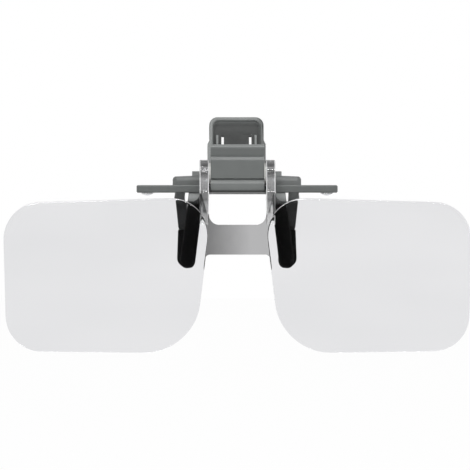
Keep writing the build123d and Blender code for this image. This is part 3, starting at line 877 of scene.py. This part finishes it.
# %% Drawing an outline and giving it thickness
ARC_STEPS = 14


def flat_outline(name, corners, rounds, place):
    """A filled outline whose corners are rounded; place() sets each corner in space."""
    piece = new_ring(name, len(corners))
    spots = [Vector(place(*corner)) for corner in corners]
    for point, spot in zip(piece.data.vertices, spots):
        point.co = spot
    edit(piece, "VERT")
    for i, (spot, radius) in enumerate(zip(spots, rounds)):
        if radius == 0:
            continue
        before, after = spots[i - 1] - spot, spots[(i + 1) % len(spots)] - spot
        reach = radius / math.tan(before.angle(after) / 2)
        choose(piece, lambda point: (point.co - spot).length < 1e-4)
        bpy.ops.mesh.bevel(offset=reach, segments=ARC_STEPS, profile=0.5, affect="VERTICES")
    merge_points(0.003)
    return piece


def thicken(piece, along):
    """Give the flat outline its thickness, along a direction."""
    edit(piece, "FACE")
    bpy.ops.mesh.select_all(action="SELECT")
    extrude(along)
    face_outwards()


def round_rims(piece, width, sharp):
    """Round every edge that turns by more than an angle in degrees, and close the piece."""
    edit(piece, "EDGE")
    bpy.ops.mesh.edges_select_sharp(sharpness=math.radians(sharp))
    bpy.ops.mesh.bevel(
        offset=width, segments=3, profile=0.5, affect="EDGES", clamp_overlap=True
    )
    pick(piece)
    tell(piece)


# %% [markdown]
# The lens front bulges like a slice of a large ball. Its face gets ever smaller rings, each one
# pulled out of the last and scaled towards the middle of the dome. Then every point of the front
# is set back by how far the ball has curved away there.

# %% One lens
RING_SHARES = [0.97, 0.95, 0.93, 0.91, 0.89, 0.86, 0.83, 0.78, 0.7, 0.6, 0.5, 0.3]
BACK_BORDERS = [0.5, 0.5, 1.0, 2.0]
LONG_SIDE, SIDE_CUTS = 5, 9


def dome_depth(x, z):
    """How deep the front of a lens lies at a place."""
    reach = math.hypot(x - DOME_MIDDLE[0], z - DOME_MIDDLE[1])
    return DOME_TOP + DOME_RADIUS - math.sqrt(DOME_RADIUS**2 - reach**2)


def on_front(face):
    """Whether a face of the thickened outline is its flat front."""
    return abs(face.normal.y) > 0.9 and face.calc_center_median().y < DOME_TOP + 0.1


def on_back(face):
    """Whether a face of the thickened outline is its flat back."""
    return face.normal.y > 0.9 and face.calc_center_median().y > PLATE_BACK - 0.1


lens_half = flat_outline(
    "lens_half", LENS_CORNERS, LENS_ROUNDS, lambda x, z: (x, PLATE_BACK, z)
)
# The long sides get points too, so that the dome is as smooth there as round the corners.
edit(lens_half, "EDGE")
choose(lens_half, lambda edge: edge.calc_length() > LONG_SIDE)
bpy.ops.mesh.subdivide(number_cuts=SIDE_CUTS)
thicken(lens_half, (0, DOME_TOP - PLATE_BACK, 0))
choose(lens_half, on_front)
for share in RING_SHARES:
    extrude((0, 0, 0))
    bpy.ops.transform.resize(
        value=(share, 1, share), center_override=(DOME_MIDDLE[0], DOME_TOP, DOME_MIDDLE[1])
    )
choose(lens_half, on_back)
for border in BACK_BORDERS:
    bpy.ops.mesh.inset(thickness=border)
pick(lens_half)
for point in lens_half.data.vertices:
    if point.co.y < PLATE_BACK - 0.1:
        point.co.y = dome_depth(point.co.x, point.co.z)
edit(lens_half, "FACE")
face_outwards()
round_rims(lens_half, RIM_ROUND, 50)

# %% [markdown]
# An ear is a flat plate that stands on edge. Its head is round about the pin, its toe stops just
# short of the brow bar, and its foot runs down inside the plate of the lens. It is kept a hair
# inside the plate's two faces, so that no two walls lie in the same plane when they are joined.

# %% One ear
HAIR = 0.02
head_top = PIN_MIDDLE[1] + EAR_RADIUS
head_front = PIN_MIDDLE[0] - EAR_RADIUS
head_back = PIN_MIDDLE[0] + EAR_RADIUS
EAR_CORNERS = [
    (head_front, head_top),
    (head_back, head_top),
    (head_back, 20.241),
    (-2.08, 19.40),
    (-3.0, 18.4),
    (-3.0, 16.55),
    (PLATE_BACK - HAIR, 9.3),
    (PLATE_BACK - HAIR, 2.2),
    (PLATE_FRONT + HAIR, 2.2),
    (PLATE_FRONT + HAIR, 16.55),
    (head_front, 21.2),
]
EAR_ROUNDS = [EAR_RADIUS, EAR_RADIUS, 3.1, 0, 0, 0.9, 2.0, 0, 0, 2.0, 0]
ear = flat_outline("ear", EAR_CORNERS, EAR_ROUNDS, lambda y, z: (EAR_INNER, y, z))
thicken(ear, (EAR_OUTER - EAR_INNER, 0, 0))
round_rims(ear, EAR_ROUND, 60)

# %% [markdown]
# The bridge is a flat bar between the lenses. Beside each ear it rises into a small web that fills
# the gap to the rounded shoulder of the lens, and every inner corner is a soft round.

# %% The bridge and its webs
WEB_INNER = 7.25
BRIDGE_RIGHT = [
    (7.673, 1.75),
    (8.05, -1.4),
    (12.4, -1.4),
    (12.9, 14.5),
    (EAR_OUTER, 14.5),
    (EAR_OUTER, 16.42),
    (8.6, 16.42),
    (WEB_INNER, 11.6),
    (EAR_INNER, 11.4),
    (EAR_INNER, 8.9),
]
BRIDGE_ROUNDS = [1.2, 0, 0, 0, 1.88, 0, 0, 0, 0, 2.4]
bridge_corners = BRIDGE_RIGHT + [(-x, z) for x, z in reversed(BRIDGE_RIGHT)]
bridge_rounds = BRIDGE_ROUNDS + BRIDGE_ROUNDS[::-1]
bridge = flat_outline(
    "bridge", bridge_corners, bridge_rounds, lambda x, z: (x, PLATE_BACK - HAIR / 2, z)
)
thicken(bridge, (0, PLATE_FRONT - PLATE_BACK + HAIR, 0))
round_rims(bridge, BRIDGE_ROUND, 60)

# %% [markdown]
# Now the parts become one solid. The right half is mirrored for the left one, and its faces are
# turned the right way out again afterwards. The exact solver is slower than the fast one and
# leaves a closed skin. Each part brings its own finish, and the small rounds along the edges of an
# ear get the painted highlight. The hole for the pin is cut last.

# %% Joining the moulding


def mirrored(piece, name):
    """A copy of a piece on the other side of the middle plane."""
    twin = put_in_scene(name, piece.data.copy())
    twin.data.transform(Matrix.Scale(-1, 4, (1, 0, 0)))
    edit(twin, "FACE")
    face_outwards()
    pick(twin)
    return twin


def combine(base, other, way="UNION"):
    """Join another solid to the base, or cut it out, and remove the other."""
    pick(base)
    combined = base.modifiers.new("combine", "BOOLEAN")
    combined.operation = way
    combined.solver = "EXACT"
    combined.material_mode = "INDEX"
    combined.object = other
    bpy.ops.object.modifier_apply(modifier=combined.name)
    bpy.data.objects.remove(other)


LENS, BRIDGE, EAR, EAR_EDGE = range(4)
for part, own in ((lens_half, LENS), (bridge, BRIDGE), (ear, EAR)):
    wear(part, clear_acrylic, bridge_painted_shade_acrylic, ear_painted_shade_acrylic, ear_edge_painted_highlight)
    for face in part.data.polygons:
        on_edge = part is ear and 0.1 < abs(face.normal.x) < 0.98
        face.material_index = EAR_EDGE if on_edge else own
left_lens, left_ear = mirrored(lens_half, "left_lens"), mirrored(ear, "left_ear")
twin_lens = bridge
twin_lens.name = "twin_lens_moulding"
for part in (lens_half, left_lens, ear, left_ear):
    combine(twin_lens, part)
bore = new_cylinder("bore", BORE_RADIUS, 2 * EAR_OUTER + 2, (0, *PIN_MIDDLE), ACROSS)
combine(twin_lens, bore, "DIFFERENCE")
edit(twin_lens, "VERT")
merge_points(0.002)
done(twin_lens, 38)
keep_flats_flat(twin_lens)
tell(twin_lens)
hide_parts("twin_lens")
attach(twin_lens, "lens")

# %% [markdown]
# ## The rubber sleeves
# Each finger wears a tight rubber sleeve with a closed, rounded end. A sleeve starts as a small
# disc with flattened sides. It is extruded in short lengths, which first grow along a quarter of an
# ellipse for the round end and then keep their width. Only points can bend, so each short length
# is moved onto the bowed line of the finger, and the outer side moves out towards the end. Then
# the skin gets its thickness inwards, which leaves the hollow that the finger fills.

# %% Sizes of the sleeves, in millimetres
TIP_SPREAD, TIP_DEEP = 24.2, 1.5
SLEEVE_END = -1.65
SLEEVE_WIDTH, SLEEVE_DEPTH = 3.5, 2.7
SLEEVE_POINTS, SQUARENESS = 40, 0.62
TIP_SHARE, TIP_HEIGHT, TIP_TURN = 0.12, 2.4, 15
STEP_LENGTH = 0.8
RUBBER_WALL, CUFF_ROUND = 0.7, 0.16
BOW = 1.001
BAR_HEIGHT = 16.55
# For each jaw: the root of its right finger, its side, the top of its sleeve and the flare.
SLEEVES = [
    ("front", (10.0, -1.5), -1, 13.9, 0.2),
    ("rear", (13.7, 1.05), 1, 7.4, 0.95),
]

# %% Modelling a sleeve


def finger_middle(root, side, height):
    """Where the middle of a finger lies at a height: a straight line plus its bow."""
    tip = Vector((TIP_SPREAD / 2, side * TIP_DEEP, 0))
    share = height / BAR_HEIGHT
    middle = tip + (Vector((*root, BAR_HEIGHT)) - tip) * share
    middle.y += side * 4 * BOW * share * (1 - share)
    return middle


def squarish(place, size):
    """One coordinate of a point on a unit circle, moved onto a small disc with flattened sides."""
    return size / 2 * math.copysign(abs(place) ** SQUARENESS, place) * TIP_SHARE


def sleeve(name, root, side, top, flare):
    """A rubber sleeve on the right finger of the front (side -1) or the rear jaw (side 1).

    Towards its end its outer side moves out by up to flare.
    """
    piece = new_ring(name, SLEEVE_POINTS)
    for point in piece.data.vertices:
        point.co.x = squarish(point.co.x, SLEEVE_WIDTH)
        point.co.y = squarish(point.co.y, SLEEVE_DEPTH)
        point.co.z = SLEEVE_END
    edit(piece, "FACE")
    bpy.ops.mesh.select_all(action="SELECT")
    height, share = SLEEVE_END, TIP_SHARE
    for angle in range(TIP_TURN, 91, TIP_TURN):
        new_height = SLEEVE_END + TIP_HEIGHT * (1 - math.cos(math.radians(angle)))
        new_share = TIP_SHARE + (1 - TIP_SHARE) * math.sin(math.radians(angle))
        up = (0, 0, new_height - height)
        extrude(up)
        grow = new_share / share
        bpy.ops.transform.resize(value=(grow, grow, 1), center_override=(0, 0, new_height))
        height, share = new_height, new_share
    steps = round((top - height) / STEP_LENGTH)
    up = (0, 0, (top - height) / steps)
    for _ in range(steps):
        extrude(up)
    face_outwards()
    choose(piece, lambda face: face.normal.z > 0.9)
    bpy.ops.mesh.delete(type="FACE")
    pick(piece)
    for point in piece.data.vertices:
        middle = finger_middle(root, side, point.co.z)
        outer = max(0, point.co.x) / (SLEEVE_WIDTH / 2)
        point.co.x += flare * outer * (1 - max(0, point.co.z) / top)
        point.co += Vector((middle.x, middle.y, 0))
    wall = piece.modifiers.new("rubber wall", "SOLIDIFY")
    wall.thickness = RUBBER_WALL
    wall.offset = -1
    wall.use_even_offset = True
    bpy.ops.object.modifier_apply(modifier=wall.name)
    edit(piece, "EDGE")
    choose_edges(piece, lambda place: place.z > top - 0.01)
    soften(CUFF_ROUND, 3)
    pick(piece)
    wear(piece, black_rubber)
    return piece


for jaw, *shape in SLEEVES:
    right = sleeve(jaw + "_rubber_right", *shape)
    left = mirrored(right, jaw + "_rubber_left")
    for piece, hand in ((right, "right"), (left, "left")):
        done(piece, 40)
        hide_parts(jaw + "_sleeve_" + hand)
        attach(piece, jaw)
        tell(piece)

# %% [markdown]
# ## Pads, pins, washers and spring
# Under each end of the brow bar sits a small clear pad, round underneath. It is the lowest slice of
# a short cylinder that lies on its side, with softened edges. Its peg in the bar can't be seen and
# isn't made.

# %% Bar pads
PAD_RADIUS, PAD_LENGTH, PAD_CUT, PAD_ROUND = 2.25, 2.0, -1.63, 0.12
PAD_SIDE, PAD_DEEP, PAD_HEIGHT = 21.6, -1.5, 18.17


def bar_pad(name, side):
    """A clear pad with a rounded underside, under one end of the brow bar."""
    piece = new_cylinder(name, PAD_RADIUS, PAD_LENGTH, (0, 0, 0), FORWARDS, 48)
    settle()
    edit(piece, "EDGE")
    bpy.ops.mesh.select_all(action="SELECT")
    bpy.ops.mesh.bisect(
        plane_co=(0, 0, PAD_CUT),
        plane_no=(0, 0, 1),
        clear_outer=True,
        use_fill=True,
        threshold=0.0001,
    )
    bpy.ops.mesh.edges_select_sharp(sharpness=math.radians(40))
    soften(PAD_ROUND, 3)
    pick(piece)
    piece.data.transform(Matrix.Translation((side, PAD_DEEP, PAD_HEIGHT)))
    wear(piece, clear_silicone)
    return piece


for hand, side in (("left", -PAD_SIDE), ("right", PAD_SIDE)):
    pad = bar_pad("bar_pad_clear_" + hand, side)
    done(pad, 40)
    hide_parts("bar_pad_" + hand)
    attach(pad, "front")
    tell(pad)

# %% [markdown]
# A pin is turned from bar and its two ends are chamfered so that it starts easily in its hole.
# The end faces get a shallow centre mark, as a lathe leaves it.

# %% Pins
PIN_CHAMFER, MARK_DEPTH = 0.18, 0.08
# How far the mark lies from the edge and how wide its slope is, as shares of the pin's radius.
MARK_BORDER, MARK_SLOPE = 0.45, 0.12


def turned_pin(name, middle, radius, half_length, node, body):
    """A steel pin across the clip with chamfered ends and a shallow mark in each end."""
    piece = new_cylinder(name, radius, 2 * half_length, (0, *middle), ACROSS)
    settle()
    edit(piece, "EDGE")
    bpy.ops.mesh.edges_select_sharp(sharpness=math.radians(50))
    soften(PIN_CHAMFER, 2)
    bpy.ops.mesh.select_mode(type="FACE")
    choose(piece, lambda face: abs(face.normal.x) > 0.99)
    bpy.ops.mesh.inset(thickness=radius * MARK_BORDER)
    bpy.ops.mesh.inset(thickness=radius * MARK_SLOPE, depth=-MARK_DEPTH)
    pick(piece)
    wear(piece, ground_steel)
    done(piece, 30)
    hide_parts(node)
    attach(piece, body)
    tell(piece)


turned_pin("flip_pin_turned", PIN_MIDDLE, 1.0, 9.1, "flip_pin", "front")
turned_pin("hinge_pin_turned", (2.2, 20.35), 0.8, 10.5, "hinge_pin", "rear")

# %% [markdown]
# The spring is one wire: a leg behind the front tab, the coil round the hinge pin, and a leg on the
# floor of the rear tab. When the jaws open, the front leg stays, the rear leg goes with the rear
# jaw, and the coil between them winds up. Here a copy of the wire is made in place, with its
# finish.

# %% Spring
spring = measured_copy("torsion_spring", "spring_wound_wire")
pick(spring)
wear(spring, wire_steel)
done(spring, 35)
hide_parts("torsion_spring")
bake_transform(spring)
tell(spring)

# %% [markdown]
# The washers keep their measured shape and only get their finish.

# %% Finishes for the parts that keep their shape


def refinish(node, finish):
    """Give a measured part another finish and leave its shape alone."""
    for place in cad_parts[node].material_slots:
        place.material = finish
    print(node, "is finished in", finish.name)


refinish("friction_washer_left", white_nylon)
refinish("friction_washer_right", white_nylon)
